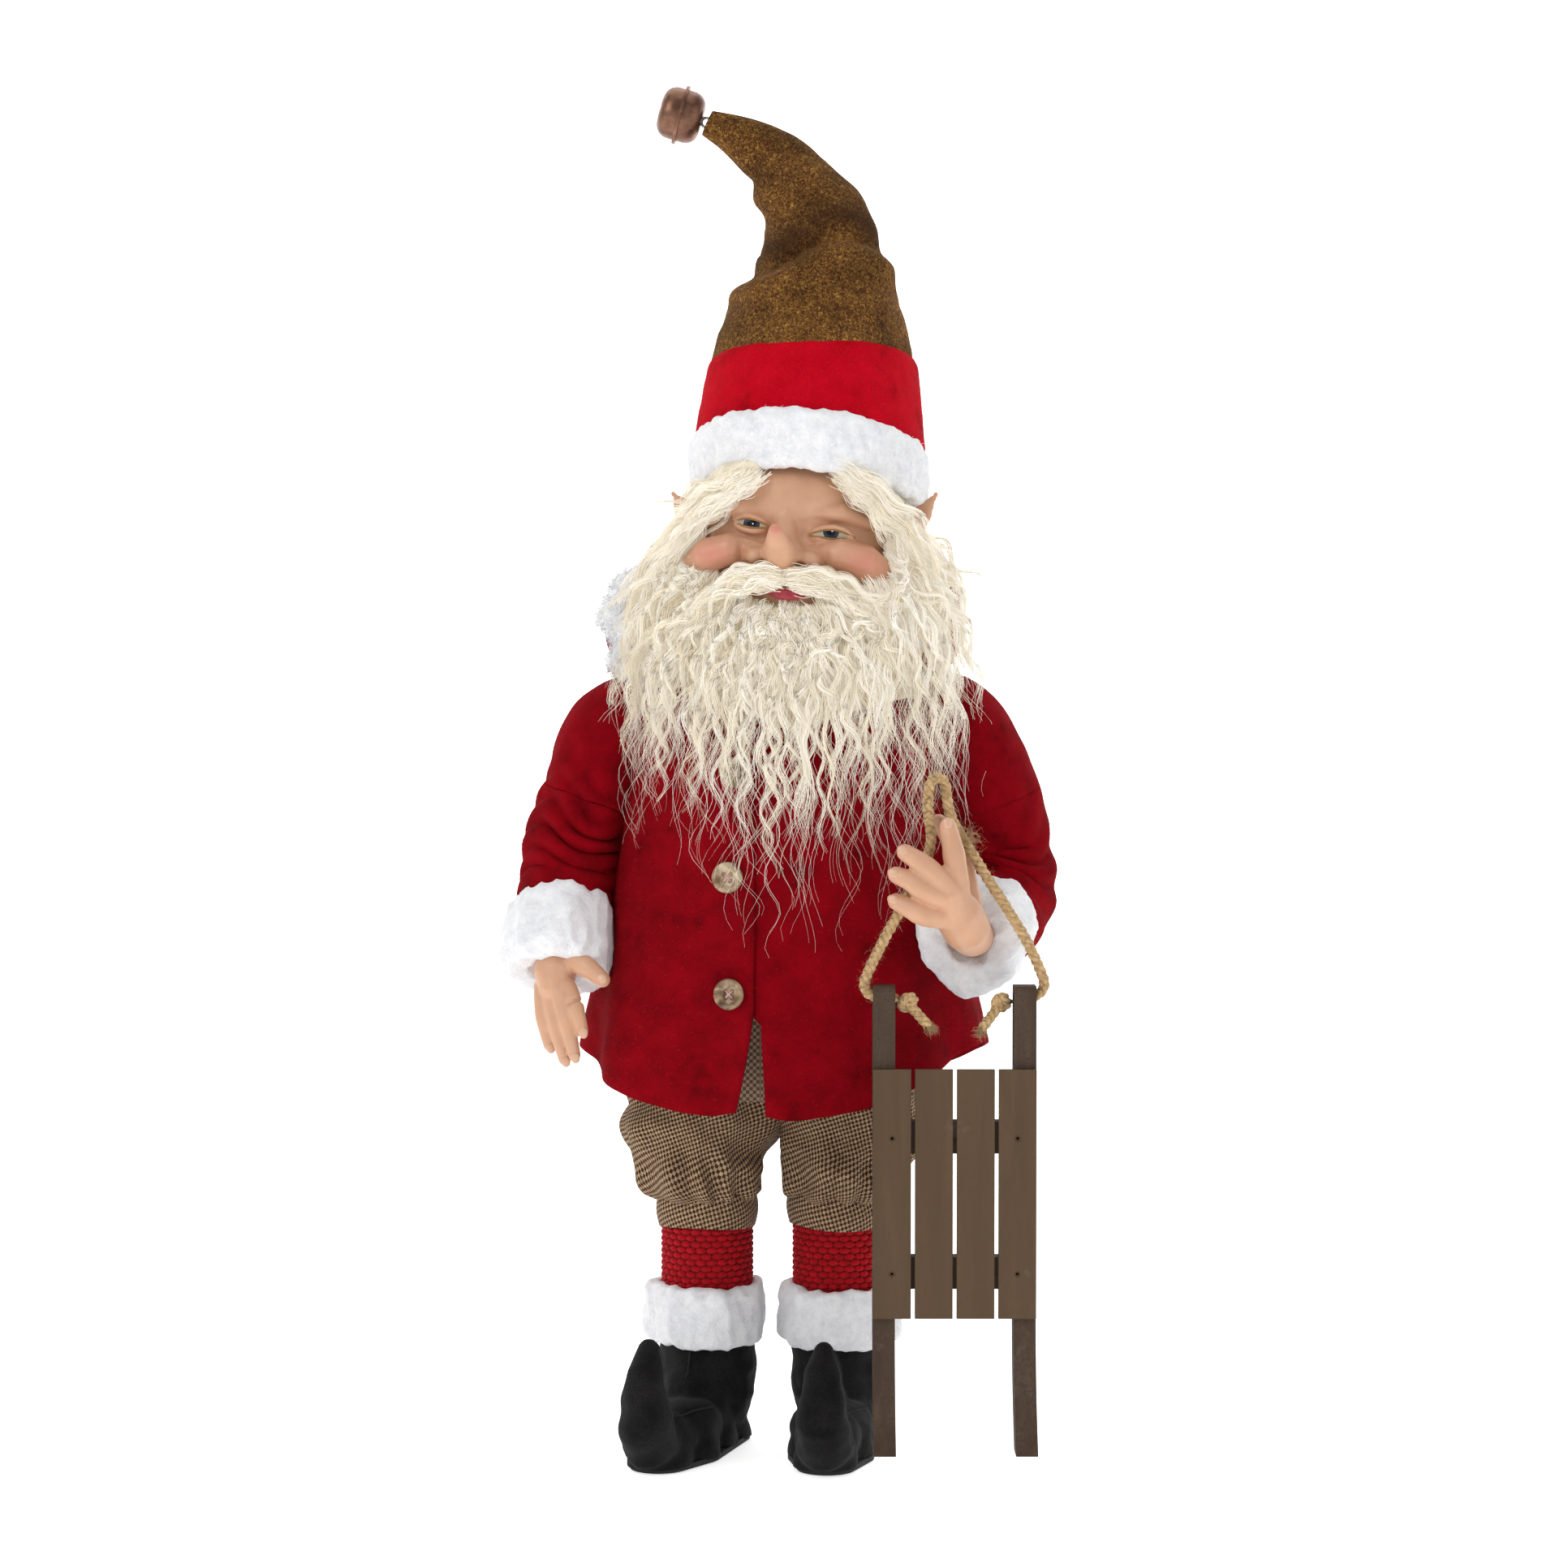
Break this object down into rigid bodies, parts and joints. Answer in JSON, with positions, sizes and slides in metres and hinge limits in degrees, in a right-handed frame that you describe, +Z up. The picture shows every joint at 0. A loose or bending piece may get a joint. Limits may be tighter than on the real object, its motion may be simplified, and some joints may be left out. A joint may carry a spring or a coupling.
{
  "type": "posable gnome figurine",
  "caption": "Standing bearded gnome doll in a tall felt hat, felt coat and curled boots, holding a small wooden sled upright by its rope.",
  "frame": {"origin": "on the floor, under the middle of the figure's overall width and depth without the rope", "axes": "+Z up, -Y the way the figure faces, +X the figure's own left"},
  "size_m": [0.2658, 0.214, 0.6681],
  "materials": {
    "boot_suede": "black suede",
    "sole_leather": "dark sole",
    "white_fleece": "clumped sherpa fleece",
    "red_knit": "chunky knit",
    "tweed": "flecked basket weave",
    "plain_wood": "bare",
    "steel_wire": "drawn wire",
    "foam": "open-cell foam",
    "coat_felt": "boiled wool felt",
    "horn_button": "marbled",
    "resin_skin": "satin, hand painted",
    "eye_glass": "painted, glossy",
    "mohair": "wavy mohair",
    "hat_band_felt": "wool felt",
    "hat_felt": "heathered wool felt",
    "bell_copper": "aged copper",
    "sled_runner_paint": "worn taupe stain",
    "sled_slat_paint": "taupe stain",
    "jute": "three-strand jute"
  },
  "bodies": {
    "figure": {"sole_left": "sole_leather", "sole_right": "sole_leather", "boot_left": "boot_suede", "boot_right": "boot_suede", "boot_trim_left": "white_fleece", "boot_trim_right": "white_fleece", "sock_left": "red_knit", "sock_right": "red_knit", "trouser_leg_left": "tweed", "trouser_leg_right": "tweed", "foot_blocks": "plain_wood", "leg_rods": "steel_wire", "leg_pads": "foam", "trouser_bands": "tweed", "hip_block": "plain_wood", "trouser_seat": "tweed", "spine_dowel": "plain_wood", "shoulder_yoke": "plain_wood", "torso_form": "foam", "coat_back": "coat_felt", "coat_front_left": "coat_felt", "coat_front_right": "coat_felt", "coat_buttons": "horn_button", "hood_shell": "coat_felt", "hood_lining": "white_fleece"},
    "head": {"head_shell": "resin_skin", "eyes": "eye_glass", "neck_plug": "plain_wood", "wig": "mohair", "forelocks": "mohair", "beard": "mohair", "moustache": "mohair", "hat_trim": "white_fleece", "hat_band": "hat_band_felt", "hat_crown": "hat_felt", "hat_wire": "steel_wire"},
    "bell": {"bell_inner_half": "bell_copper", "bell_outer_half": "bell_copper", "bell_loop": "bell_copper"},
    "pellet": {"bell_pellet": "bell_copper"},
    "upper_arm_left": {"sleeve_upper_left": "coat_felt", "arm_wire_upper_left": "steel_wire"},
    "upper_arm_right": {"sleeve_upper_right": "coat_felt", "arm_wire_upper_right": "steel_wire"},
    "forearm_left": {"sleeve_lower_left": "coat_felt", "arm_wire_lower_left": "steel_wire", "cuff_left": "white_fleece", "hand_left": "resin_skin"},
    "forearm_right": {"sleeve_lower_right": "coat_felt", "arm_wire_lower_right": "steel_wire", "cuff_right": "white_fleece", "hand_right": "resin_skin"},
    "sled": {"runner_left": "sled_runner_paint", "runner_right": "sled_runner_paint", "slats": "sled_slat_paint", "crossbars": "sled_runner_paint", "slat_nails": "steel_wire", "tow_rope": "jute", "rope_knots": "jute"}
  },
  "joints": [
    {"name": "head_turn", "type": "hinge", "parent": "figure", "child": "head", "pos_m": [0.003, 0.019, 0.425], "axis": [0, 0, 1], "range_deg": [-20, 20]},
    {"name": "bell_swing", "type": "hinge", "parent": "head", "child": "bell", "pos_m": [-0.0382, 0.019, 0.6503], "axis": [0, 1, 0], "range_deg": [-12, 12]},
    {"name": "pellet_rattle", "type": "slide", "parent": "bell", "child": "pellet", "axis": [0, 0, 1], "range_m": [0, 0.006]},
    {"name": "left_shoulder_lift", "type": "hinge", "parent": "figure", "child": "upper_arm_left", "pos_m": [0.086, 0.019, 0.35], "axis": [-1, 0, 0], "range_deg": [0, 20]},
    {"name": "left_elbow_bend", "type": "hinge", "parent": "upper_arm_left", "child": "forearm_left", "pos_m": [0.107, 0.023, 0.268], "axis": [-1, 0, 0], "range_deg": [0, 20]},
    {"name": "sled_swing", "type": "hinge", "parent": "forearm_left", "child": "sled", "pos_m": [0.074, -0.079, 0.309], "axis": [-1, 0, 0], "range_deg": [-3, 7]},
    {"name": "right_shoulder_lift", "type": "hinge", "parent": "figure", "child": "upper_arm_right", "pos_m": [-0.086, 0.019, 0.35], "axis": [-1, 0, 0], "range_deg": [0, 30]},
    {"name": "right_elbow_bend", "type": "hinge", "parent": "upper_arm_right", "child": "forearm_right", "pos_m": [-0.103, 0.017, 0.296], "axis": [-1, 0, 0], "range_deg": [0, 30]}
  ]
}
